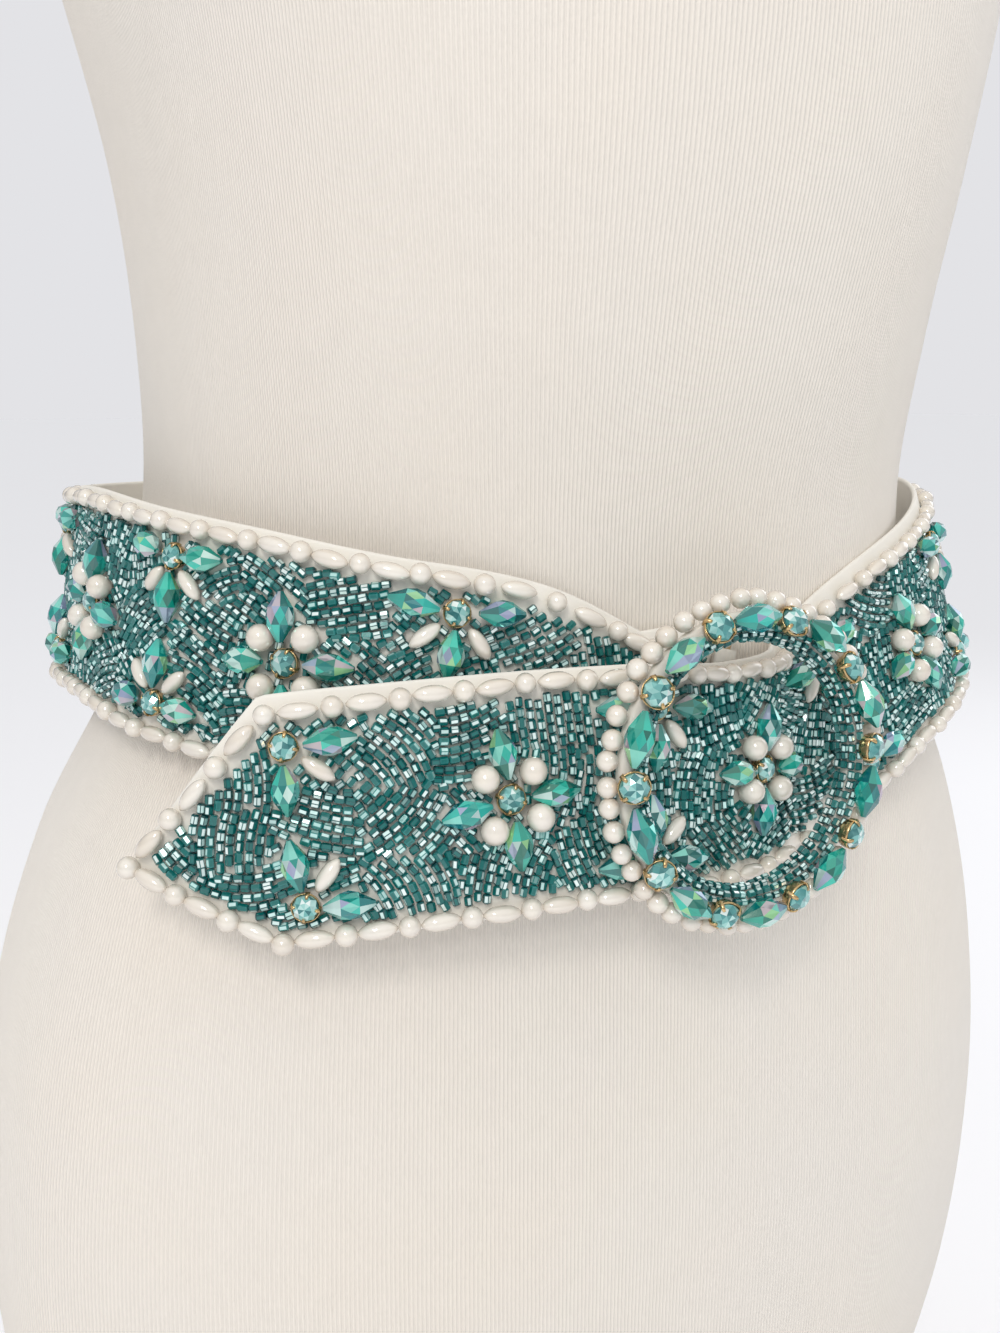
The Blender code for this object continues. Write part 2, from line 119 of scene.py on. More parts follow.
PEARL_PAIR = 14.4
PEARL_RADIUS = 2.6
RICE_RADIUS = 2.15
RICE_LENGTH = 9.2
FACET_LENGTH = 12.4
FACET_RADIUS = 3.5
FLOWER_PEARL_RADIUS = 3.45
FLOWER_PEARL_LINE = 8.1
CLUSTER_LINE = 18.3
BUCKLE_CENTRE = (-6.3, -122.5, 337.3)
BUCKLE_LEAN = 5.0
BUCKLE_INNER = 31.5
BUCKLE_OUTER = 37.0
BUCKLE_THICKNESS = 3.4
RIM_LINE = 39.9
RIM_HEIGHT = 1.9
FIRST_FLOWER = 92.0
FLOWER_PITCH = 74.0
FLOWER_COUNT = 11
FLOWER_TURNS = (6, -8, 11, -4)
CORNER_CLUSTER = 43.5

dice = random.Random(11)


def spline(rows, x, column):
    """A column's value at x, on a smooth curve through the rows."""
    places = [row[0] for row in rows]
    i = min(max(bisect.bisect_right(places, x) - 1, 0), len(rows) - 2)

    def slope(k):
        low, high = max(k - 1, 0), min(k + 1, len(rows) - 1)
        rise = getattr(rows[high], column) - getattr(rows[low], column)
        return rise / (places[high] - places[low])

    width = places[i + 1] - places[i]
    t = (x - places[i]) / width
    start, end = getattr(rows[i], column), getattr(rows[i + 1], column)
    return (
        start * (1 + 2 * t) * (1 - t) ** 2
        + slope(i) * width * t * (1 - t) ** 2
        + end * t * t * (3 - 2 * t)
        + slope(i + 1) * width * t * t * (t - 1)
    )


def oval(turn, half_width, front, back, squareness):
    """Distance from the axis to a squared oval; turn 0 is the front."""
    side, ahead = math.sin(turn), math.cos(turn)
    depth = back + (front - back) * 0.5 * (1 + math.tanh(OVAL_BLEND * ahead))
    power = abs(side / half_width) ** squareness + abs(ahead / depth) ** squareness
    return power ** (-1 / squareness)


def belt_middle(angle):
    turn = math.radians(angle)
    radius = oval(turn, BELT_HALF_WIDTH, BELT_FRONT, BELT_BACK, BELT_SQUARENESS)
    radius += spline(BELT_STOPS, angle, "lift")
    height = spline(BELT_STOPS, angle, "height")
    return np.array((math.sin(turn) * radius, -math.cos(turn) * radius, height))


def unit(v):
    return v / np.linalg.norm(v, axis=-1, keepdims=True)


class Belt:
    """The belt's middle line as tables, one row for each half degree."""

    def __init__(self):
        self.angles = np.arange(TIP_ANGLE - ANGLE_LEAD, END_ANGLE + 0.01, ANGLE_STEP)
        self.middle = np.array([belt_middle(a) for a in self.angles])
        steps = np.linalg.norm(np.diff(self.middle, axis=0), axis=1)
        self.along = np.concatenate([[0], np.cumsum(steps)])
        self.along -= np.interp(TIP_ANGLE, self.angles, self.along)
        self.tangent = unit(np.gradient(self.middle, self.along, axis=0))
        level = np.stack([self.tangent[:, 1], -self.tangent[:, 0], 0 * self.along], 1)
        level = unit(level)
        lean = np.radians([spline(BELT_STOPS, a, "lean") for a in self.angles])
        up = -level * np.sin(lean)[:, None]
        up[:, 2] += np.cos(lean)
        up -= self.tangent * np.sum(up * self.tangent, axis=1, keepdims=True)
        self.across = unit(up)
        self.length = self.along[-1]

    def frames(self, along):
        """Middle, tangent, across and outward at each length along the belt."""
        along = np.atleast_1d(np.asarray(along, float))

        def read(rows):
            return np.stack([np.interp(along, self.along, rows[:, k]) for k in range(3)], 1)

        middle = read(self.middle)
        tangent = unit(read(self.tangent))
        across = read(self.across)
        across = unit(across - tangent * np.sum(across * tangent, 1, keepdims=True))
        return middle, tangent, across, np.cross(tangent, across)

    def points(self, along, across, height):
        middle, _, up, out = self.frames(along)
        across = np.atleast_1d(np.asarray(across, float))[:, None]
        height = np.atleast_1d(np.asarray(height, float))[:, None]
        return middle + up * across + out * height


belt = Belt()


# Meshes from arrays
def make_mesh(name, points, faces, smooth, marks=None, face_marks=None, corner_marks=None):
    """faces: a list of arrays, one for each face size, of indices into points."""
    mesh = bpy.data.meshes.new(name)
    points = np.asarray(points, np.float32) * MM
    faces = [np.asarray(f, np.int32) for f in faces if len(f)]
    counts = np.concatenate([np.full(len(f), f.shape[1], np.int32) for f in faces])
    loops = np.concatenate([f.ravel() for f in faces])
    starts = np.concatenate([[0], np.cumsum(counts)[:-1]]).astype(np.int32)
    mesh.vertices.add(len(points))
    mesh.vertices.foreach_set("co", points.ravel())
    mesh.loops.add(len(loops))
    mesh.loops.foreach_set("vertex_index", loops)
    mesh.polygons.add(len(counts))
    mesh.polygons.foreach_set("loop_start", starts)
    mesh.polygons.foreach_set("use_smooth", np.full(len(counts), smooth, bool))
    for domain, named in (("POINT", marks), ("FACE", face_marks), ("CORNER", corner_marks)):
        for key, values in (named or {}).items():
            store = mesh.attributes.new(key, "FLOAT", domain)
            store.data.foreach_set("value", np.asarray(values, np.float32))
    mesh.update(calc_edges=True)
    made = bpy.data.objects.new(name, mesh)
    bpy.context.scene.collection.objects.link(made)
    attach(made, "root")
    return made


Shape = namedtuple("Shape", "points faces marks")


def lathe(profile, sides, caps=True):
    """A shape round the x axis from rows of (x, radius). Its marks are x."""
    points, faces3, faces4, marks = [], [], [], []
    for x, radius in profile:
        for i in range(sides):
            turn = 2 * math.pi * i / sides
            points.append((x, radius * math.cos(turn), radius * math.sin(turn)))
            marks.append(x)
    for k in range(len(profile) - 1):
        low, high = k * sides, (k + 1) * sides
        for i in range(sides):
            j = (i + 1) % sides
            faces4.append((low + i, low + j, high + j, high + i))
    if caps:
        for x, k in ((profile[0][0], 0), (profile[-1][0], len(profile) - 1)):
            centre = len(points)
            points.append((x, 0, 0))
            marks.append(x)
            for i in range(sides):
                a, b = k * sides + i, k * sides + (i + 1) % sides
                faces3.append((centre, b, a) if k == 0 else (centre, a, b))
    return Shape(np.array(points), [np.array(faces3), np.array(faces4)], np.array(marks))


# The side of a face that each of its corners is on, for a seed bead's window
QUAD_CORNERS = (-1, 1, 1, -1)
TRIANGLE_CORNERS = (0, 0, 0)


def scatter(name, shape, places, axes, seed, smooth=True):
    """Copies of a shape at places. axes: for each copy, its x, y and z axes
    as rows, whose lengths are its scale."""
    places, axes = np.asarray(places, float), np.asarray(axes, float)
    count, size = len(places), len(shape.points)
    points = np.einsum("pk,nkd->npd", shape.points, axes) + places[:, None, :]
    faces, over = [], []
    for f in shape.faces:
        if len(f):
            shifted = f[None, :, :] + (np.arange(count) * size)[:, None, None]
            faces.append(shifted.reshape(-1, f.shape[1]))
            corners = QUAD_CORNERS if f.shape[1] == 4 else TRIANGLE_CORNERS
            over.append(np.tile(corners, len(f) * count))
    rolls = np.random.RandomState(seed)
    marks = {"run": np.tile(shape.marks, count), "each": np.repeat(rolls.rand(count), size)}
    facet = rolls.rand(sum(len(f) for f in faces))
    return make_mesh(
        name,
        points.reshape(-1, 3),
        faces,
        smooth,
        marks=marks,
        face_marks={"facet": facet},
        corner_marks={"over": np.concatenate(over)},
    )


# Materials
MIX_SHARE, MIX_A, MIX_B, MIX_RESULT = 0, 6, 7, 2


class Look:
    """A node material: each call adds a node and returns its output."""

    def __init__(self, name):
        self.material = bpy.data.materials.new(name)
        self.material.use_nodes = True
        self.nodes = self.material.node_tree.nodes
        self.links = self.material.node_tree.links
        self.shader = self.nodes["Principled BSDF"]

    def fill(self, socket, value):
        """Link an output to the socket, or set the socket's own value."""
        if isinstance(value, bpy.types.NodeSocket):
            self.links.new(value, socket)
        else:
            socket.default_value = (*value, 1) if isinstance(value, tuple) else value

    def set(self, **values):
        for key, value in values.items():
            self.fill(self.shader.inputs[key.replace("_", " ")], value)

    def node(self, kind, inputs=None, **settings):
        made = self.nodes.new(kind)
        for key, value in settings.items():
            setattr(made, key, value)
        for key, value in (inputs or {}).items():
            self.fill(made.inputs[key], value)
        return made

    def mark(self, name):
        return self.node("ShaderNodeAttribute", attribute_name=name).outputs["Fac"]

    def math(self, operation, a, b=0.0, c=0.0):
        return self.node("ShaderNodeMath", {0: a, 1: b, 2: c}, operation=operation).outputs[0]

    def noise(self, scale, detail=2.0):
        place = self.node("ShaderNodeTexCoord").outputs["Object"]
        inputs = {"Scale": scale, "Detail": detail, "Vector": place}
        return self.node("ShaderNodeTexNoise", inputs).outputs["Fac"]

    def ramp(self, value, stops, constant=False):
        made = self.node("ShaderNodeValToRGB", {"Fac": value})
        ramp = made.color_ramp
        ramp.interpolation = "CONSTANT" if constant else "LINEAR"
        while len(ramp.elements) < len(stops):
            ramp.elements.new(0.5)
        for element, (spot, colour) in zip(ramp.elements, stops):
            element.position = spot
            element.color = (*colour, 1)
        return made.outputs["Color"]

    def spread(self, value, low, high, to_low=0.0, to_high=1.0):
        inputs = {"Value": value, "From Min": low, "From Max": high}
        inputs.update({"To Min": to_low, "To Max": to_high})
        return self.node("ShaderNodeMapRange", inputs).outputs["Result"]

    def mix(self, share, a, b, blend="MIX"):
        inputs = {MIX_SHARE: share, MIX_A: a, MIX_B: b}
        made = self.node("ShaderNodeMix", inputs, data_type="RGBA", blend_type=blend)
        return made.outputs[MIX_RESULT]

    def bump(self, height, distance):
        inputs = {"Height": height, "Distance": distance * MM, "Strength": 1.0}
        self.set(Normal=self.node("ShaderNodeBump", inputs).outputs["Normal"])


JERSEY_TONES = ((0.885, 0.84, 0.775), (0.90, 0.835, 0.745))
CREAM = (0.90, 0.87, 0.80)
PEARL_TONES = (
    (0.0, (0.88, 0.82, 0.71)),
    (0.5, (0.92, 0.88, 0.79)),
    (1.0, (0.83, 0.76, 0.65)),
)
PEARL_CLOUD = (0.76, 0.72, 0.70)
# painted shade: the brown that the pearls' rims darken to
PEARL_RIM_SHADE = (0.50, 0.41, 0.32)
SEED_GLASS = (
    (0.0, (0.003, 0.055, 0.062)),
    (0.35, (0.004, 0.09, 0.095)),
    (0.7, (0.01, 0.15, 0.145)),
    (1.0, (0.03, 0.24, 0.23)),
)
# painted glint: the silver lining as it looks lit, on the windows that catch a glint
SEED_SILVER_GLINT = (
    (0.0, (0.60, 0.90, 0.86)),
    (0.5, (0.88, 0.99, 0.97)),
    (1.0, (0.48, 0.80, 0.76)),
)
# painted shade: the unlit tone of the windows that get no glint
SEED_WINDOW_UNLIT = (0.004, 0.15, 0.14)
FACET_GLASS = (
    (0.0, (0.002, 0.25, 0.20)),
    (0.35, (0.004, 0.38, 0.29)),
    (0.65, (0.006, 0.32, 0.37)),
    (1.0, (0.002, 0.19, 0.20)),
)
# painted reflections: per-facet tones from near black to near white, with the aurora coating's
# pink, lilac and lime tints among them
FACET_TINTS_AND_REFLECTIONS = (
    (0.0, (0.002, 0.07, 0.07)),
    (0.18, (0.002, 0.34, 0.27)),
    (0.36, (0.03, 0.62, 0.50)),
    (0.5, (0.004, 0.17, 0.20)),
    (0.62, (0.30, 0.82, 0.70)),
    (0.72, (0.50, 0.42, 0.70)),
    (0.78, (0.74, 0.46, 0.58)),
    (0.83, (0.45, 0.78, 0.34)),
    (0.88, (0.80, 0.95, 0.92)),
)
FACET_END = (0.01, 0.14, 0.14)
# painted reflections: per-facet tones of a cut stone, from dark to near white
STONE_REFLECTIONS = (
    (0.0, (0.02, 0.17, 0.18)),
    (0.24, (0.16, 0.46, 0.44)),
    (0.46, (0.50, 0.78, 0.74)),
    (0.6, (0.05, 0.28, 0.28)),
    (0.76, (0.34, 0.66, 0.62)),
    (0.9, (0.86, 0.96, 0.94)),
)
STONE_GLOW = (0.28, 0.60, 0.57)
GOLD_TONES = ((0.72, 0.50, 0.24), (0.50, 0.36, 0.20))


def jersey_look():
    """Fine ribs that wander a little, with painted shade in their grooves, slubs, fuzz and faint
    patches.
    """
    look = Look("jersey")
    ribs = look.math("MULTIPLY", look.mark("rib"), 2 * math.pi)
    wander = look.math("MULTIPLY", look.noise(55.0, 3.0), 2.6)
    wave = look.math("SINE", look.math("ADD", ribs, wander))
    fuzz = look.noise(900.0, 3.0)
    patch = look.spread(look.noise(9.0, 3.0), 0.3, 0.7)
    slub = look.noise(160.0, 4.0)
    tone = look.mix(patch, *JERSEY_TONES)
    # painted shade: the colour darkens a little along the rib grooves, where the bump is low, and
    # slubs lighten it a little
    shade = look.math("MULTIPLY_ADD", wave, 0.045, 0.945)
    shade = look.math("ADD", shade, look.math("MULTIPLY", slub, 0.05))
    grey = look.node("ShaderNodeCombineColor", {0: shade, 1: shade, 2: shade}).outputs[0]
    tone = look.mix(1.0, tone, grey, "MULTIPLY")
    look.set(Base_Color=tone, Roughness=0.92, Sheen_Weight=0.25, Sheen_Roughness=0.5)
    height = look.math("ADD", look.math("MULTIPLY", wave, 0.5), look.math("MULTIPLY", fuzz, 0.7))
    look.bump(height, 0.22)
    return look.material


def cloth_look():
    look = Look("cream cloth")
    weave = look.noise(1400.0, 2.0)
    patch = look.noise(60.0, 3.0)
    darker = tuple(c * 0.93 for c in CREAM)
    look.set(Base_Color=look.mix(patch, CREAM, darker), Roughness=0.72, Sheen_Weight=0.2)
    look.bump(weave, 0.05)
    return look.material


def pearl_look():
    """Cloudy cream with painted shade that darkens it towards the pearl's rim, under a clear coat.
    """
    look = Look("pearl")
    tone = look.ramp(look.mark("each"), PEARL_TONES)
    cloudy = look.spread(look.noise(260.0, 2.0), 0.3, 0.7)
    tone = look.mix(look.math("MULTIPLY", cloudy, 0.3), tone, PEARL_CLOUD)
    # painted shade: towards each pearl's rim as seen, its colour turns to a brown
    rim = look.node("ShaderNodeLayerWeight", {"Blend": 0.5}).outputs["Facing"]
    tone = look.mix(look.math("MULTIPLY", rim, 0.75), tone, PEARL_RIM_SHADE)
    rough = look.spread(look.noise(420.0, 2.0), 0.2, 0.8, 0.1, 0.2)
    look.set(Base_Color=tone, Roughness=rough)
    look.set(Coat_Weight=1.0, Coat_Roughness=0.04, Coat_IOR=1.9)
    return look.material


def seed_look():
    """Silver-lined beads: each flat side is dark glass round a window of the silver lining, which
    has a painted glint on about half the sides.
    """
    look = Look("seed beads")
    run = look.math("ABSOLUTE", look.mark("run"))
    over = look.math("ABSOLUTE", look.mark("over"))
    ends = look.spread(run, 0.6, 0.68, 1.0, 0.0)
    window = look.math("MULTIPLY", ends, look.spread(over, 0.66, 0.8, 1.0, 0.0))
    # painted glint: a random half of the faces get a lit silver window, the rest an unlit darker
    # one
    lit = look.math("MULTIPLY", window, look.spread(look.mark("facet"), 0.46, 0.52))
    body = look.ramp(look.mark("each"), SEED_GLASS)
    silver_glint = look.ramp(look.mark("each"), SEED_SILVER_GLINT)
    middle = look.mix(window, body, SEED_WINDOW_UNLIT)
    tone = look.mix(lit, middle, silver_glint)
    look.set(Base_Color=tone, Metallic=look.spread(lit, 0, 1, 0.1, 0.35))
    look.set(Roughness=look.spread(look.noise(500.0), 0.3, 0.7, 0.1, 0.26))
    look.set(Coat_Weight=0.5, Coat_Roughness=0.05)
    return look.material


def facet_look():
    """Teal glass whose facets each get another tone, the coating's tints and painted reflections,
    darker at its ends.
    """
    look = Look("facet beads")
    facet = look.mark("facet")
    run = look.math("ABSOLUTE", look.mark("run"))
    base = look.ramp(look.mark("each"), FACET_GLASS)
    # painted reflections: each facet gets one of these tones at random, partly the coating's own
    # tints
    tint_and_reflection = look.ramp(facet, FACET_TINTS_AND_REFLECTIONS, constant=True)
    tone = look.mix(0.66, base, tint_and_reflection)
    tone = look.mix(look.spread(run, 0.6, 1.0, 0.0, 0.45), tone, FACET_END)
    look.set(Base_Color=tone, Roughness=0.05, Metallic=0.25, Coat_Weight=1.0, Coat_Roughness=0.03)
    look.set(IOR=1.55, Thin_Film_Thickness=420.0, Thin_Film_IOR=1.7)
    return look.material


def stone_look():
    look = Look("stones")
    # painted reflections: each facet gets a random tone from dark to near white; then a painted
    # glow of lighter aqua in patches
    tone = look.ramp(look.mark("facet"), STONE_REFLECTIONS, constant=True)
    glow = look.mix(look.spread(look.noise(300.0), 0.3, 0.7, 0.0, 0.3), tone, STONE_GLOW)
    look.set(Base_Color=glow, Roughness=0.05, Metallic=0.35, Coat_Weight=1.0, Coat_Roughness=0.02)
    return look.material


def gold_look():
    look = Look("gold cups")
    wear = look.spread(look.noise(400.0, 3.0), 0.3, 0.7)
    look.set(Base_Color=look.mix(wear, *GOLD_TONES), Metallic=1.0)
    look.set(Roughness=look.spread(wear, 0, 1, 0.18, 0.35))
    return look.material


JERSEY = jersey_look()
CLOTH = cloth_look()
PEARL = pearl_look()
SEED = seed_look()
FACET = facet_look()
STONE = stone_look()
GOLD = gold_look()


def dress(piece, look, nodes=()):
    """Give a piece its material and slot, and hide the nodes it stands for."""
    piece.data.materials.append(look)
    if nodes:
        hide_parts(*nodes)


# Dress form
FORM_SIDES = 176
FORM_RINGS = 190
RIB_COUNT = 820
HIP_SHARE = 0.22


def make_form():
    top = FORM_SECTIONS[-1].height
    points = []
    for height in np.linspace(0, top, FORM_RINGS + 1):
        sizes = [spline(FORM_SECTIONS, height, c) for c in ("half_width", "front", "back")]
        for k in range(FORM_SIDES + 1):
            turn = 2 * math.pi * (k % FORM_SIDES) / FORM_SIDES
            radius = oval(turn, *sizes, FORM_SQUARENESS)
            points.append((math.sin(turn) * radius, -math.cos(turn) * radius, height))
    width = FORM_SIDES + 1
    rows = np.array(points).reshape(FORM_RINGS + 1, width, 3)
    # the knit's ribs are even round the hips and keep their count above them
    hips = rows[int(HIP_SHARE * FORM_RINGS)]
    round_hips = np.concatenate([[0], np.cumsum(np.linalg.norm(np.diff(hips, axis=0), axis=1))])
    ribs = np.tile(round_hips / round_hips[-1] * RIB_COUNT, FORM_RINGS + 1)
    faces = []
    for r in range(FORM_RINGS):
        for k in range(FORM_SIDES):
            a = r * width + k
            faces.append((a, a + 1, a + 1 + width, a + width))
    points = rows.reshape(-1, 3)
    low, high = len(points), len(points) + 1
    points = np.vstack([points, [[0, 0, 0], [0, 0, top]]])
    ribs = np.concatenate([ribs, [0, 0]])
    last = FORM_RINGS * width
    ends = [(low, k + 1, k) for k in range(FORM_SIDES)]
    ends += [(high, last + k, last + k + 1) for k in range(FORM_SIDES)]
    made = make_mesh("form_cover", points, [np.array(faces), np.array(ends)], True, {"rib": ribs})
    dress(made, JERSEY, ["dress_form"])


# Belt cloth: one strip from its point to the bar
HemStop = namedtuple("HemStop", "along reach")
HEM_STOPS = (
    HemStop(0, 1.0),
    HemStop(20, 3.0),
    HemStop(40, 4.0),
    HemStop(81, 3.3),
    HemStop(120, 2.7),
    HemStop(165, 2.9),
    HemStop(200, 4.6),
    HemStop(330, 5.0),
    HemStop(450, 4.2),
    HemStop(700, 3.4),
    HemStop(945, 3.2),
)
CLOTH_START = 0.8
CLOTH_SHORT = 3.0
CLOTH_LEAST = 0.8
CLOTH_STEP = 2.2
HEM_BELOW = 1.7
CLOTH_BACK = -1.5
CLOTH_FACE = 0.25
FACE_SHARES = (0.93, 0.8, 0.65, 0.5, 0.35, 0.2, 0.07)


def edge_slope(along, side):
    """How fast the edge runs out from the tip; nothing past the corner."""
    corner = TOP_CORNER if side > 0 else BOTTOM_CORNER
    return 0.0 if along >= corner else (side * EDGE_LINE - TIP_LINE) / (corner - POINT_TIP)


def pearl_line(along, side):
    """Where the pearls above (side 1) or below (-1) the middle line run."""
    slope = edge_slope(along, side)
    return TIP_LINE + slope * (along - POINT_TIP) if slope else side * EDGE_LINE


def cloth_edge(along, side, reach):
    return pearl_line(along, side) + side * reach * math.hypot(1, edge_slope(along, side))


def cloth_outline(top, low):
    """(across, height) from behind, round the top edge, over the face and back."""
    turn = min(1.0, 0.3 * (top - low))
    outline = [
        (low + 0.5 * turn, CLOTH_BACK),
        (top - 0.8 * turn, CLOTH_BACK),
        (top - 0.25 * turn, CLOTH_BACK + 0.25),
        (top, -0.75),
        (top - 0.15 * turn, -0.2),
        (top - 0.7 * turn, 0.1),
    ]
    outline += [(low + share * (top - low), CLOTH_FACE) for share in FACE_SHARES]
    outline += [
        (low + 0.5 * turn, 0.05),
        (low + 0.1 * turn, -0.3),
        (low, -0.8),
        (low + 0.15 * turn, CLOTH_BACK + 0.2),
    ]
    return np.array(outline)


def make_cloth():
    end = belt.length - CLOTH_SHORT
    count = int((end - CLOTH_START) / CLOTH_STEP)
    rings = []
    for along in np.linspace(CLOTH_START, end, count + 1):
        top = cloth_edge(along, 1, spline(HEM_STOPS, along, "reach"))
        low = cloth_edge(along, -1, min(HEM_BELOW, 0.5 + 0.1 * along))
        if top - low < CLOTH_LEAST:
            middle = 0.5 * (top + low)
            top, low = middle + 0.5 * CLOTH_LEAST, middle - 0.5 * CLOTH_LEAST
        outline = cloth_outline(top, low)
        rings.append(belt.points(np.full(len(outline), along), outline[:, 0], outline[:, 1]))
    size = len(rings[0])
    faces = []
    for r in range(len(rings) - 1):
        for k in range(size):
            j = (k + 1) % size
            faces.append((r * size + k, r * size + j, (r + 1) * size + j, (r + 1) * size + k))
    last = (len(rings) - 1) * size
    ends = [tuple(range(size))[::-1], tuple(last + k for k in range(size))]
    made = make_mesh("belt_cloth", np.concatenate(rings), [np.array(faces), np.array(ends)], True)
    bands = ["band_over", "band_right", "band_back", "band_left", "band_under"]
    dress(made, CLOTH, bands)
    return made


# Beads that lie on the belt
def lay(along, across, direction, height, length, radius, roll=0.0, pitch=0.0):
    """Place and axes of a bead that lies on the belt, pointing in a direction."""
    middle, tangent, up, out = (rows[0] for rows in belt.frames(along))
    turn = math.radians(direction)
    axis = tangent * math.cos(turn) + up * math.sin(turn)
    side = np.cross(out, axis)
    tilt = math.radians(pitch)
    lifted = axis * math.cos(tilt) + out * math.sin(tilt)
    normal = np.cross(lifted, side)
    spin = math.radians(roll)
    a = side * math.cos(spin) + normal * math.sin(spin)
    b = normal * math.cos(spin) - side * math.sin(spin)
    return middle + up * across + out * height, np.array([lifted * length, a * radius, b * radius])


BALL_ROWS = 10
BALL_SIDES = 16
BALL_POLE = 0.02
RICE_ROWS = 13
RICE_SIDES = 12
RICE_END = 0.16


def ball_shape():
    turns = [math.pi * k / BALL_ROWS for k in range(BALL_ROWS + 1)]
    profile = [(-math.cos(turn), max(BALL_POLE, math.sin(turn))) for turn in turns]
    return lathe(profile, BALL_SIDES, caps=False)


def rice_shape():
    places = np.linspace(-1, 1, RICE_ROWS)
    profile = [(x, max(RICE_END, (1 - abs(x) ** 2.3) ** 0.62)) for x in places]
    return lathe(profile, RICE_SIDES)


# Edge pearls. They end at these angles, short of the bar
TOP_PEARLS_END = 345
BOTTOM_PEARLS_END = 333
EDGE_WANDER = 0.25


def strand(corners, rounds, rices):
    """Round and rice pearls by turns, with a round one at each corner."""
    for start, end in zip(corners, corners[1:]):
        start, end = np.array(start, float), np.array(end, float)
        step = end - start
        direction = math.degrees(math.atan2(step[1], step[0]))
        pairs = max(1, round(float(np.linalg.norm(step)) / PEARL_PAIR))
        for i in range(pairs):
            for is_round, share in ((True, i / pairs), (False, (i + 0.5) / pairs)):
                along, across = start + step * share
                across += dice.uniform(-EDGE_WANDER, EDGE_WANDER)
                height = EDGE_HEIGHT + dice.uniform(-0.25, 0.1)
                if is_round:
                    size = PEARL_RADIUS * dice.uniform(0.95, 1.03)
                    rounds.append(lay(along, across, direction, height, size, size))
                else:
                    radius = RICE_RADIUS * dice.uniform(0.92, 1.0)
                    turn = direction + dice.uniform(-4, 4)
                    rices.append(lay(along, across, turn, height, 0.5 * RICE_LENGTH, radius))
    rounds.append(lay(*corners[-1], 0, EDGE_HEIGHT, PEARL_RADIUS, PEARL_RADIUS))


def make_edges(ball, rice):
    rounds, rices = [], []
    tip = (POINT_TIP, TIP_LINE)
    edges = ((1, TOP_CORNER, TOP_PEARLS_END), (-1, BOTTOM_CORNER, BOTTOM_PEARLS_END))
    for side, corner, last in edges:
        end = float(np.interp(last, belt.angles, belt.along)) - PEARL_RADIUS
        strand((tip, (corner, side * EDGE_LINE), (end, side * EDGE_LINE)), rounds, rices)
    stretches = ("right", "back", "left", "under")
    nodes = ["edge_over"] + [f"edge_{s}_{n}" for s in ("top", "bottom") for n in stretches]
    made = scatter("edge_pearls", ball, *zip(*rounds), seed=3)
    dress(made, PEARL, nodes)
    made = scatter("rice_pearls", rice, *zip(*rices), seed=4)
    dress(made, PEARL)


# Flowers and clusters. Footprint: what the seed beads keep clear of
Footprint = namedtuple("Footprint", "along across direction half_length half_width")
footprints = []
stones, pearls, facets, grains = [], [], [], []
FLOWER_STONE_RADIUS = 3.4
FLOWER_STONE_HEIGHT = 3.0
FLOWER_STONE_REACH = 3.8
FLOWER_STONE_TURN = 20
FLOWER_FACET_RADIUS = FACET_RADIUS * 0.98
FLOWER_FACET_HEIGHT = 3.6
FLOWER_PEARL_HEIGHT = 4.0
FLOWER_PEARL_REACH = 3.0
FACET_START = 4.8
FACET_REACH = 2.7
CLUSTER_STONE_RADIUS = 3.2
CLUSTER_STONE_HEIGHT = 2.9
CLUSTER_STONE_REACH = 3.6
CLUSTER_STONE_TURN = 30
CLUSTER_FACET_RADIUS = FACET_RADIUS * 0.95
CLUSTER_FACET_HEIGHT = 3.5
CLUSTER_START = 3.9
CLUSTER_RICE_START = 4.4
CLUSTER_RICE_LENGTH = 8.8
CLUSTER_RICE_RADIUS = 2.0
CLUSTER_RICE_HEIGHT = 2.6
CLUSTER_RICE_REACH = 1.6
Spoke = namedtuple("Spoke", "direction is_facet")
CORNER_SPOKES = (Spoke(4, True), Spoke(-90, True), Spoke(-45, False))
WHOLE_SPOKES = CORNER_SPOKES + (Spoke(-184, True), Spoke(-135, False))


def petal(store, along, across, direction, start, length, radius, height, width):
    """A long bead that points away from the middle of its flower."""
    turn = math.radians(direction)
    reach = start + 0.5 * length
    x, y = along + reach * math.cos(turn), across + reach * math.sin(turn)
    pitch = dice.uniform(-9, 3)
    store.append(lay(x, y, direction, height, 0.5 * length, radius, dice.uniform(0, 45), pitch))
    footprints.append(Footprint(x, y, direction, 0.5 * length, width))


def plant_stone(along, across, direction, height, radius, reach):
    stones.append(lay(along, across, direction, height, radius, radius))
    footprints.append(Footprint(along, across, 0, reach, reach))


def plant_flower(along, first):
    """A stone, four faceted beads from the first direction on, four pearls."""
    turn = first + FLOWER_STONE_TURN
    plant_stone(along, 0, turn, FLOWER_STONE_HEIGHT, FLOWER_STONE_RADIUS, FLOWER_STONE_REACH)
    for k in range(4):
        direction = first + 90 * k + dice.uniform(-5, 5)
        size = FACET_LENGTH * dice.uniform(0.95, 1.0)
        look = (FACET_START, size, FLOWER_FACET_RADIUS, FLOWER_FACET_HEIGHT, FACET_REACH)
        petal(facets, along, 0, direction, *look)
        turn = math.radians(first + 90 * k + 45 + dice.uniform(-5, 5))
        x, y = along + FLOWER_PEARL_LINE * math.cos(turn), FLOWER_PEARL_LINE * math.sin(turn)
        size = FLOWER_PEARL_RADIUS * dice.uniform(0.95, 1.0)
        pearls.append(lay(x, y, dice.uniform(0, 360), FLOWER_PEARL_HEIGHT, size, size))
        footprints.append(Footprint(x, y, 0, FLOWER_PEARL_REACH, FLOWER_PEARL_REACH))


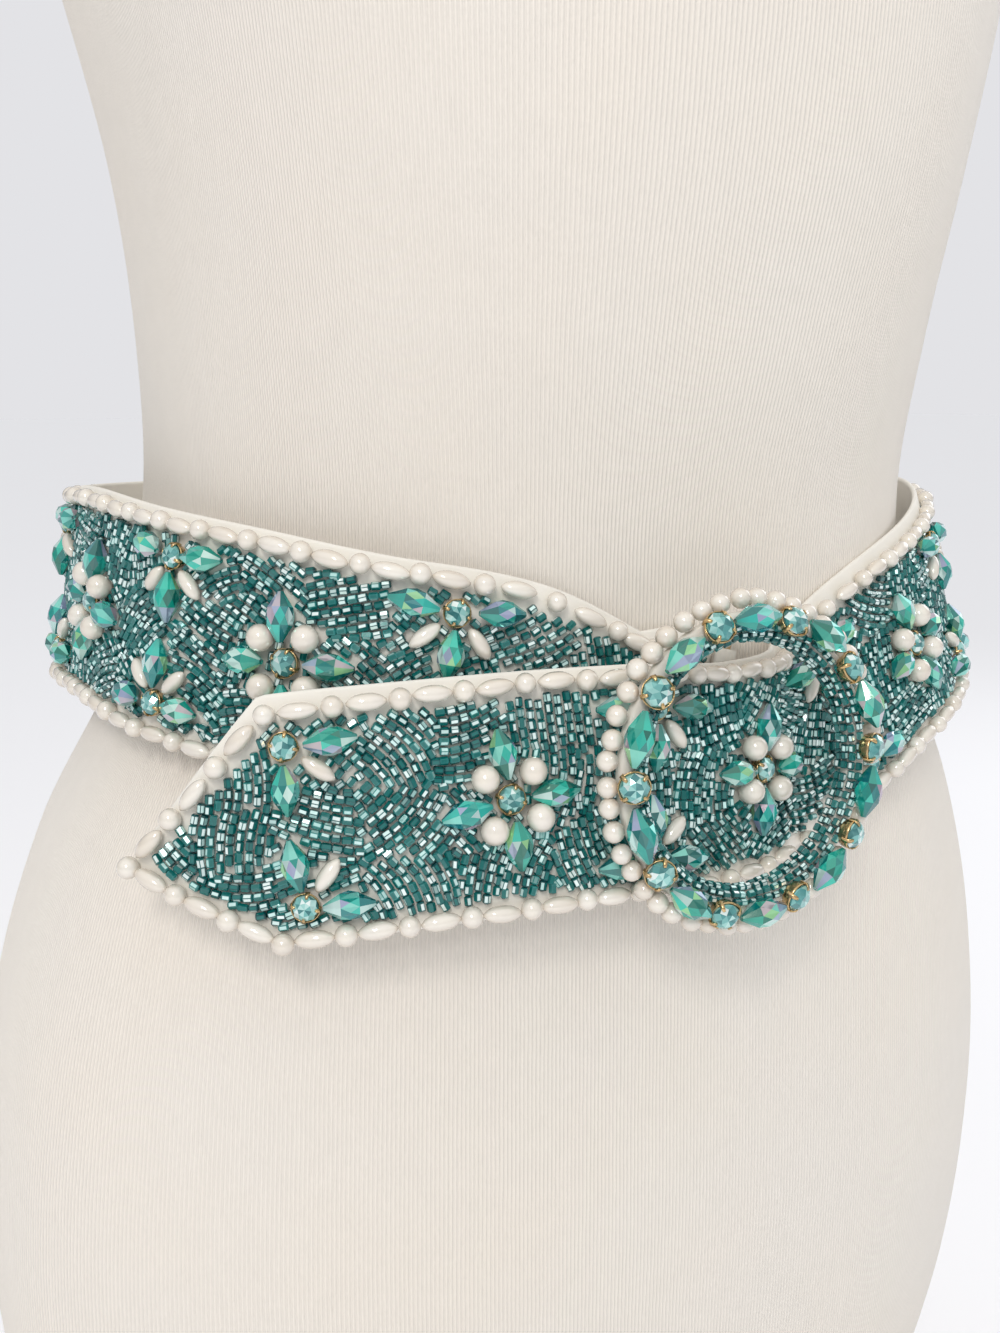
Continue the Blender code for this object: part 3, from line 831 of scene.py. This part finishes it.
def plant_cluster(along, side, whole):
    """A half flower on the edge above (side 1) or below (-1) the middle line."""
    across = side * CLUSTER_LINE
    sizes = (CLUSTER_STONE_HEIGHT, CLUSTER_STONE_RADIUS, CLUSTER_STONE_REACH)
    plant_stone(along, across, CLUSTER_STONE_TURN, *sizes)
    for spoke in WHOLE_SPOKES if whole else CORNER_SPOKES:
        direction = side * (spoke.direction + dice.uniform(-6, 6))
        if spoke.is_facet:
            size = FACET_LENGTH * dice.uniform(0.93, 1.0)
            look = (CLUSTER_START, size, CLUSTER_FACET_RADIUS, CLUSTER_FACET_HEIGHT, FACET_REACH)
            petal(facets, along, across, direction, *look)
        else:
            look = (CLUSTER_RICE_START, CLUSTER_RICE_LENGTH, CLUSTER_RICE_RADIUS)
            look += (CLUSTER_RICE_HEIGHT, CLUSTER_RICE_REACH)
            petal(grains, along, across, direction, *look)


def cluster_places():
    """Rows of (along, side, whole), the corners' own first."""
    rows = [(CORNER_CLUSTER, 1, False), (CORNER_CLUSTER, -1, False)]
    for i in range(FLOWER_COUNT):
        along = FIRST_FLOWER + (i + 0.5) * FLOWER_PITCH
        rows.append((along, 1, True))
        if i < FLOWER_COUNT - 1:
            rows.append((along, -1, True))
    return rows


# Seed beads, in patches of curved rows
SEED_RADIUS = 1.05
SEED_LENGTH = 2.5
SEED_PITCH = 2.45
SEED_APART = 1.75
SEED_PROFILE = ((-1, 0.62), (-0.8, 0.96), (0.8, 0.96), (1, 0.62))
SEED_SIDES = 6
SEED_PARTS = 4
ROW_PITCH = 2.25
ROWS_LEFT_OUT = 0.035
PATCH_START = 6.0
PATCH_PITCH = 20.0
PATCH_REACH = 21
PATCH_LINE = 15.5
PATCH_WANDER = 4
PATCH_LEAN = 55
PATCH_LEAN_SPREAD = 38
LEVEL_SHARE = 0.3
LEVEL_LEAN = 14
PATCH_BEND = 22
FILL_STEP = 0.9
FILL_WANDER = 0.4
EDGE_CLEAR = 3.3
END_CLEAR = 6
LENGTH_CLEAR = 0.5
WIDTH_CLEAR = 0.7
CELL = 2
NEAR_PATCH = 32
NEAR_COLUMN = 12


def inside_field(along, across):
    if along > belt.length - END_CLEAR:
        return False
    for side in (1, -1):
        clear = EDGE_CLEAR * math.hypot(1, edge_slope(along, side))
        if side * (pearl_line(along, side) - across) < clear:
            return False
    return True


def covered(along, across, near):
    """Whether one of the footprints near is under this place."""
    for f in near:
        turn = math.radians(f.direction)
        x, y = along - f.along, across - f.across
        u = (x * math.cos(turn) + y * math.sin(turn)) / (f.half_length + LENGTH_CLEAR)
        v = (y * math.cos(turn) - x * math.sin(turn)) / (f.half_width + WIDTH_CLEAR)
        if u**2 + v**2 < 1:
            return True
    return False


def seed_patches(rolls):
    """Rows of (along, across, turn, bend), one for each patch."""
    patches = []
    column, along = 0, PATCH_START
    while along < belt.length:
        for row in (-1, 0, 1):
            shift = 0.5 * PATCH_PITCH if column % 2 else 0.0
            x = along + rolls.uniform(-PATCH_WANDER, PATCH_WANDER) + (0.3 * shift if row else 0)
            y = row * PATCH_LINE + rolls.uniform(-PATCH_WANDER, PATCH_WANDER)
            lean = PATCH_LEAN * (1 if (column + row) % 2 else -1)
            lean += rolls.uniform(-PATCH_LEAN_SPREAD, PATCH_LEAN_SPREAD)
            if row and rolls.random() < LEVEL_SHARE:
                lean = rolls.uniform(-LEVEL_LEAN, LEVEL_LEAN)
            patches.append((x, y, math.radians(lean), rolls.uniform(-1, 1) / PATCH_BEND))
        along += PATCH_PITCH
        column += 1
    return patches


def seed_places():
    """(along, across, direction) of every seed bead on the belt."""
    rolls = random.Random(5)
    patches = seed_patches(rolls)
    centres = np.array([p[:2] for p in patches])
    cells = {}
    found = []

    def nearest(x, y):
        gaps = (centres[:, 0] - x) ** 2 + (centres[:, 1] - y) ** 2
        return int(np.argmin(gaps))

    def clash(x, y):
        i, j = int(x // CELL), int(y // CELL)
        for a in (i - 1, i, i + 1):
            for b in (j - 1, j, j + 1):
                for p, q in cells.get((a, b), ()):
                    if (p - x) ** 2 + (q - y) ** 2 < SEED_APART**2:
                        return True
        return False

    def keep(x, y, direction):
        found.append((x, y, direction))
        cells.setdefault((int(x // CELL), int(y // CELL)), []).append((x, y))

    def keep_run(run):
        if len(run) > 1:
            for place in run:
                keep(*place)

    last_row = int(PATCH_REACH / ROW_PITCH)
    for index, (cx, cy, turn, bend) in enumerate(patches):
        near = [f for f in footprints if abs(f.along - cx) < NEAR_PATCH]
        ca, sa = math.cos(turn), math.sin(turn)
        for row in range(-last_row, last_row + 1):
            if rolls.random() < ROWS_LEFT_OUT:
                continue
            u = -PATCH_REACH + rolls.uniform(0, SEED_PITCH)
            run = []
            while u < PATCH_REACH:
                v = row * ROW_PITCH + 0.5 * bend * u * u
                x, y = cx + u * ca - v * sa, cy + u * sa + v * ca
                own = nearest(x, y) == index
                if own and inside_field(x, y) and not covered(x, y, near) and not clash(x, y):
                    slope = math.degrees(turn + math.atan(bend * u))
                    run.append((x, y, slope + rolls.uniform(-5, 5)))
                else:
                    keep_run(run)
                    run = []
                u += SEED_PITCH * rolls.uniform(0.97, 1.03)
            keep_run(run)
    # single beads where the patches' rows leave a gap wide enough for one
    half = int(EDGE_LINE / FILL_STEP)
    for i in range(int(belt.length / FILL_STEP)):
        column = i * FILL_STEP
        near = [f for f in footprints if abs(f.along - column) < NEAR_COLUMN]
        for j in range(-half, half + 1):
            x = column + rolls.uniform(-FILL_WANDER, FILL_WANDER)
            y = j * FILL_STEP + rolls.uniform(-FILL_WANDER, FILL_WANDER)
            if clash(x, y) or not inside_field(x, y) or covered(x, y, near):
                continue
            turn = math.degrees(patches[nearest(x, y)][2])
            keep(x, y, turn + rolls.uniform(-12, 12))
    return found


def seed_shape():
    return lathe(SEED_PROFILE, SEED_SIDES)


def make_seeds():
    rolls = np.random.RandomState(8)
    found = np.array(seed_places())
    middle, tangent, up, out = belt.frames(found[:, 0])
    turn = np.radians(found[:, 2])[:, None]
    axis = tangent * np.cos(turn) + up * np.sin(turn)
    axis = unit(axis + out * rolls.uniform(-0.1, 0.1, (len(found), 1)))
    side = unit(np.cross(out, axis))
    normal = np.cross(axis, side)
    spin = rolls.uniform(0, math.pi / 3, (len(found), 1))
    a = side * np.cos(spin) + normal * np.sin(spin)
    b = normal * np.cos(spin) - side * np.sin(spin)
    height = CLOTH_FACE + SEED_RADIUS + rolls.uniform(-0.1, 0.25, (len(found), 1))
    places = middle + up * found[:, 1:2] + out * height
    width = SEED_RADIUS * rolls.uniform(0.93, 1.07, (len(found), 1))
    length = 0.5 * SEED_LENGTH * rolls.uniform(0.9, 1.04, (len(found), 1))
    axes = np.stack([axis * length, a * width, b * width], 1)
    shape = seed_shape()
    edges = np.linspace(0, belt.length, SEED_PARTS + 1)
    for k in range(SEED_PARTS):
        chosen = (found[:, 0] >= edges[k]) & (found[:, 0] < edges[k + 1])
        name = f"seed_beads_{k + 1}"
        made = scatter(name, shape, places[chosen], axes[chosen], seed=20 + k, smooth=False)
        dress(made, SEED)


# Cut beads, stones and cups
FACET_SIDES = 9
FACET_RINGS = ((-1, 0.2, 0), (-0.36, 0.88, 0), (0, 1, 0.5), (0.36, 0.88, 0), (1, 0.2, 0))
FACET_CAP = 0.98
STONE_SIDES = 8
STONE_TABLE = 0.62
STONE_RINGS = (
    (0.5, 0.62, 0.0),
    (0.8, 0.42, 0.5),
    (0.97, 0.16, 0.0),
    (0.93, 0.0, 0.5),
    (0.55, -0.45, 0.0),
)
CUP_SIDES = 24
CUP_RINGS = ((0.62, -0.78), (0.86, -0.62), (1.04, -0.1), (1.06, 0.06), (0.98, 0.07), (0.95, -0.1))
PRONGS = 4
PRONG_RINGS = ((1.08, -0.3, 0.17), (1.12, 0.12, 0.15), (0.98, 0.34, 0.13), (0.78, 0.46, 0.08))
PRONG_CORNERS = ((0, -1), (0, 1), (-0.09, 1), (-0.09, -1))


def facet_shape():
    """An oval bead cut in three bands of facets; kites round its middle."""
    sides, points, faces3, faces4, marks = FACET_SIDES, [], [], [], []
    for x, radius, shift in FACET_RINGS:
        for i in range(sides):
            turn = 2 * math.pi * (i + shift) / sides
            points.append((x, radius * math.cos(turn), radius * math.sin(turn)))
            marks.append(x)
    a, b, c, d, e = (k * sides for k in range(5))
    for i in range(sides):
        j = (i + 1) % sides
        faces4.append((a + i, a + j, b + j, b + i))
        faces4.append((d + i, d + j, e + j, e + i))
        faces3.append((b + i, b + j, c + i))
        faces3.append((d + j, d + i, c + i))
        faces4.append((b + j, c + j, d + j, c + i))
    for x, first in ((-1, a), (1, e)):
        centre = len(points)
        points.append((x * FACET_CAP, 0, 0))
        marks.append(x)
        for i in range(sides):
            p, q = first + i, first + (i + 1) % sides
            faces3.append((centre, q, p) if first == a else (centre, p, q))
    return Shape(np.array(points), [np.array(faces3), np.array(faces4)], np.array(marks))


def stone_shape():
    """A cut stone's crown: a table, kites and a girdle. Its top is along z."""
    sides, points, faces3, faces4 = STONE_SIDES, [(0, 0, STONE_TABLE)], [], []
    for radius, height, shift in STONE_RINGS:
        for i in range(sides):
            turn = 2 * math.pi * (i + shift) / sides
            points.append((radius * math.cos(turn), radius * math.sin(turn), height))
    a, b, c, d, e = (1 + k * sides for k in range(5))
    for i in range(sides):
        j = (i + 1) % sides
        faces3.append((0, a + i, a + j))
        faces3.append((a + i, b + i, a + j))
        faces4.append((a + j, b + i, c + j, b + j))
        faces3.append((b + i, c + i, c + j))
        faces3.append((c + i, d + i, c + j))
        faces3.append((c + j, d + i, d + j))
        faces3.append((d + i, e + i, e + j))
        faces3.append((d + i, e + j, d + j))
    faces3 += [(e, e + k + 1, e + k) for k in range(1, sides - 1)]
    marks = np.zeros(len(points))
    return Shape(np.array(points, float), [np.array(faces3), np.array(faces4)], marks)


def cup_shape():
    """A cup with four prongs that fold over the stone's girdle."""
    points, faces4 = [], []
    sides = CUP_SIDES
    for radius, height in CUP_RINGS:
        for i in range(sides):
            turn = 2 * math.pi * i / sides
            points.append((radius * math.cos(turn), radius * math.sin(turn), height))
    for k in range(len(CUP_RINGS) - 1):
        low, high = k * sides, (k + 1) * sides
        for i in range(sides):
            j = (i + 1) % sides
            faces4.append((low + i, low + j, high + j, high + i))
    for p in range(PRONGS):
        start = len(points)
        turn = math.pi * (0.25 + 0.5 * p)
        ahead = np.array((math.cos(turn), math.sin(turn), 0))
        side = np.array((-math.sin(turn), math.cos(turn), 0))
        for radius, height, width in PRONG_RINGS:
            for r, s in PRONG_CORNERS:
                spot = ahead * (radius + r) + side * width * s
                points.append(tuple(spot + np.array((0, 0, height + 0.4 * r))))
        for k in range(len(PRONG_RINGS) - 1):
            a = start + 4 * k
            for i in range(4):
                j = (i + 1) % 4
                faces4.append((a + i, a + j, a + 4 + j, a + 4 + i))
        faces4.append((start + 12, start + 13, start + 14, start + 15))
    return Shape(np.array(points, float), [np.array(faces4)], np.zeros(len(points)))


# Buckle
RING_SEGMENTS = 160
RING_SIDES = 20
RIM_GAP = 0.25
GARLAND_LINE = 36.0
GARLAND_PAIRS = 10
GARLAND_STEP = 360 / GARLAND_PAIRS
GARLAND_FACET_TURN = 18.3
GARLAND_STONE_HEIGHT = BUCKLE_THICKNESS + 3.6
GARLAND_FACET_HEIGHT = BUCKLE_THICKNESS + 3.9
GARLAND_STONE_RADIUS = 3.7
GARLAND_FACET_LENGTH = 6.6
GARLAND_FACET_RADIUS = 3.6
STONE_NOD = 0.45
# (radius, height) of each row of seed beads round the ring's inner rim
RING_SEED_ROWS = ((30.6, 0.6), (30.5, 2.7), (31.6, 4.3), (33.5, 4.9))
RING_SEED_LENGTH = 1.0
RING_SEED_RADIUS = 0.98


def buckle_axes():
    lean = math.radians(BUCKLE_LEAN)
    right = np.array((1.0, 0, 0))
    up = np.array((0, math.sin(lean), math.cos(lean)))
    return np.array(BUCKLE_CENTRE), right, up, np.cross(right, up)


def ring_point(turn, radius, height):
    """A place on the buckle, then its axes away from the middle, round and out."""
    centre, right, up, out = buckle_axes()
    arm = right * math.cos(turn) + up * math.sin(turn)
    along = up * math.cos(turn) - right * math.sin(turn)
    return centre + arm * radius + out * height, arm, along, out


def make_ring():
    middle = 0.5 * (BUCKLE_INNER + BUCKLE_OUTER)
    half = 0.5 * (BUCKLE_OUTER - BUCKLE_INNER)
    outline = []
    for k in range(RING_SIDES):
        turn = 2 * math.pi * k / RING_SIDES
        c, s = math.cos(turn), math.sin(turn)
        r = half * math.copysign(abs(c) ** 0.55, c)
        h = 0.5 * BUCKLE_THICKNESS * (1 + math.copysign(abs(s) ** 0.6, s))
        outline.append((r, h))
    points = []
    for i in range(RING_SEGMENTS):
        turn = 2 * math.pi * i / RING_SEGMENTS
        ripple = 0.12 * math.sin(23 * turn) + 0.1 * math.sin(37 * turn + 1)
        for r, h in outline:
            points.append(ring_point(turn, middle + r, h + (ripple if h > 1 else 0))[0])
    faces = []
    for i in range(RING_SEGMENTS):
        low, high = i * RING_SIDES, (i + 1) % RING_SEGMENTS * RING_SIDES
        for k in range(RING_SIDES):
            j = (k + 1) % RING_SIDES
            faces.append((low + k, high + k, high + j, low + j))
    made = make_mesh("buckle_ring_cloth", np.array(points), [np.array(faces)], True)
    dress(made, CLOTH, ["buckle_ring"])


def make_rim_pearls(ball):
    count = int(2 * math.pi * RIM_LINE // (2 * PEARL_RADIUS + RIM_GAP))
    rows = []
    for i in range(count):
        turn = 2 * math.pi * (i + 0.5 + dice.uniform(-0.08, 0.08)) / count
        radius = RIM_LINE + dice.uniform(-0.3, 0.3)
        spot = ring_point(turn, radius, RIM_HEIGHT + dice.uniform(-0.3, 0.2))[0]
        rows.append((spot, np.eye(3) * PEARL_RADIUS * dice.uniform(0.94, 1.04)))
    made = scatter("buckle_pearls", ball, *zip(*rows), seed=6)
    dress(made, PEARL, ["buckle_rim_pearls"])


def plant_garland():
    """Stones and faceted beads by turns round the ring."""
    for i in range(GARLAND_PAIRS):
        start = math.radians(GARLAND_STEP * i)
        radius = GARLAND_LINE + dice.uniform(-0.3, 0.3)
        spot, arm, along, out = ring_point(start, radius, GARLAND_STONE_HEIGHT)
        top = unit(out + arm * STONE_NOD + along * dice.uniform(-0.15, 0.15))
        x = unit(along - top * np.dot(along, top))
        stones.append((spot, np.array([x, np.cross(top, x), top]) * GARLAND_STONE_RADIUS))
        turn = start + math.radians(GARLAND_FACET_TURN)
        radius = GARLAND_LINE + dice.uniform(-0.5, 0.5)
        spot, arm, along, out = ring_point(turn, radius, GARLAND_FACET_HEIGHT)
        axis = along + arm * dice.uniform(-0.14, 0.14) + out * dice.uniform(-0.12, 0.12)
        axis = unit(axis)
        side = unit(np.cross(out, axis))
        across = [side * GARLAND_FACET_RADIUS, np.cross(axis, side) * GARLAND_FACET_RADIUS]
        facets.append((spot, np.array([axis * GARLAND_FACET_LENGTH, *across])))


def make_ring_seeds():
    rolls = random.Random(9)
    rows = []
    for radius, height in RING_SEED_ROWS:
        count = int(2 * math.pi * radius / SEED_PITCH)
        for i in range(count):
            turn = 2 * math.pi * (i + 0.3 * rolls.random()) / count
            reach = radius + rolls.uniform(-0.2, 0.2)
            spot, arm, along, out = ring_point(turn, reach, height + rolls.uniform(-0.15, 0.15))
            axis = unit(along + arm * rolls.uniform(-0.1, 0.1) + out * rolls.uniform(-0.1, 0.1))
            side = unit(np.cross(out, axis))
            across = [side * RING_SEED_RADIUS, np.cross(axis, side) * RING_SEED_RADIUS]
            rows.append((spot, np.array([axis * RING_SEED_LENGTH, *across])))
    made = scatter("buckle_seed_beads", seed_shape(), *zip(*rows), seed=31, smooth=False)
    dress(made, SEED)


# Build
make_form()
cloth = make_cloth()
ball, rice = ball_shape(), rice_shape()
make_edges(ball, rice)
for i in range(FLOWER_COUNT):
    plant_flower(FIRST_FLOWER + i * FLOWER_PITCH, FLOWER_TURNS[i % len(FLOWER_TURNS)])
for place in cluster_places():
    plant_cluster(*place)
make_seeds()
make_ring()
make_rim_pearls(ball)
plant_garland()
make_ring_seeds()

flower_nodes = [f"flower_{i + 1:02d}" for i in range(FLOWER_COUNT)]
cluster_nodes = [f"cluster_{i + 1:02d}" for i in range(len(cluster_places()))]
made = scatter("facet_beads", facet_shape(), *zip(*facets), seed=41, smooth=False)
dress(made, FACET, flower_nodes)
made = scatter("stones", stone_shape(), *zip(*stones), seed=42, smooth=False)
dress(made, STONE, ["buckle_beads"])
made = scatter("stone_cups", cup_shape(), *zip(*stones), seed=43)
dress(made, GOLD)
made = scatter("flower_pearls", ball, *zip(*pearls), seed=44)
dress(made, PEARL, cluster_nodes)
made = scatter("cluster_pearls", rice, *zip(*grains), seed=45)
dress(made, PEARL)
for name, look in (("buckle_bar", GOLD), ("bar_loop", CLOTH)):
    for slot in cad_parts[name].material_slots:
        slot.material = look

# Floor, in metres from here on
FLOOR_SIZE = 60
FLOOR_TONES = ((0.94, 0.94, 0.965), (0.93, 0.93, 0.955))
bpy.ops.mesh.primitive_plane_add(size=FLOOR_SIZE, location=(0, 0, 0))
floor = bpy.context.object
floor.name = "floor"
floor_look = Look("floor")
floor_tone = floor_look.mix(floor_look.noise(3.0, 3.0), *FLOOR_TONES)
floor_look.set(Base_Color=floor_tone, Roughness=0.95)
floor.data.materials.append(floor_look.material)

# Camera: angles in radians, its focal length in the photo's pixels
YAW, PITCH, FOCAL = 0.488, -0.208, 1263.0
CAMERA_PLACE = (-0.1967, -0.3560, 0.4234)
PHOTO_HEIGHT = 1333
SENSOR_WIDTH = 36.0
camera = bpy.data.objects.new("camera", bpy.data.cameras.new("camera"))
bpy.context.scene.collection.objects.link(camera)
camera.location = CAMERA_PLACE
camera.rotation_mode = "XYZ"
camera.rotation_euler = (math.pi / 2 + PITCH, 0, -YAW)
camera.data.sensor_fit = "AUTO"
camera.data.sensor_width = SENSOR_WIDTH
camera.data.lens = FOCAL / PHOTO_HEIGHT * SENSOR_WIDTH
camera.data.clip_start = 0.01
bpy.context.scene.camera = camera

# World: a soft dome lights the model, and the camera sees one plain tone
DOME_LOW = (0.30, 0.31, 0.33, 1)
DOME_HIGH = (1.0, 1.0, 1.0, 1)
DOME_TOP = 0.85
BACKDROP_TONE = (0.768, 0.768, 0.793, 1)
world = bpy.data.worlds.new("studio")
bpy.context.scene.world = world
world.use_nodes = True
nodes, links = world.node_tree.nodes, world.node_tree.links
light = nodes["Background"]
spot = nodes.new("ShaderNodeTexCoord")
axes = nodes.new("ShaderNodeSeparateXYZ")
links.new(spot.outputs["Generated"], axes.inputs[0])
dome = nodes.new("ShaderNodeValToRGB")
dome.color_ramp.elements[0].color = DOME_LOW
dome.color_ramp.elements[1].color = DOME_HIGH
dome.color_ramp.elements[1].position = DOME_TOP
links.new(axes.outputs["Z"], dome.inputs["Fac"])
links.new(dome.outputs["Color"], light.inputs["Color"])
light.inputs["Strength"].default_value = 1.0
backdrop = nodes.new("ShaderNodeBackground")
backdrop.inputs["Color"].default_value = BACKDROP_TONE
seen = nodes.new("ShaderNodeLightPath")
both = nodes.new("ShaderNodeMixShader")
links.new(seen.outputs["Is Camera Ray"], both.inputs["Fac"])
links.new(light.outputs[0], both.inputs[1])
links.new(backdrop.outputs[0], both.inputs[2])
links.new(both.outputs[0], nodes["World Output"].inputs["Surface"])

# Lights
Lamp = namedtuple("Lamp", "name place size watts colour")
LAMPS = (
    Lamp("key", (-0.9, -1.2, 1.5), 0.34, 7.5, (1.0, 0.955, 0.90)),
    Lamp("glint", (-0.7, -1.1, 1.0), 0.14, 1.8, (1.0, 0.97, 0.93)),
    Lamp("window", (1.4, 0.2, 1.0), 0.9, 3.5, (0.97, 0.98, 1.0)),
)
LAMP_AIM = (0, 0, 0.35)
for lamp in LAMPS:
    data = bpy.data.lights.new(lamp.name, "AREA")
    data.shape = "SQUARE"
    data.size = lamp.size
    data.energy = lamp.watts
    data.color = lamp.colour
    made = bpy.data.objects.new(lamp.name, data)
    made.location = lamp.place
    made.rotation_mode = "QUATERNION"
    direction = np.array(LAMP_AIM, float) - np.array(lamp.place, float)
    made.rotation_quaternion = Vector(direction).to_track_quat("-Z", "Y")
    bpy.context.scene.collection.objects.link(made)

bpy.context.scene.view_settings.view_transform = "Standard"
bpy.context.scene.view_settings.look = "None"
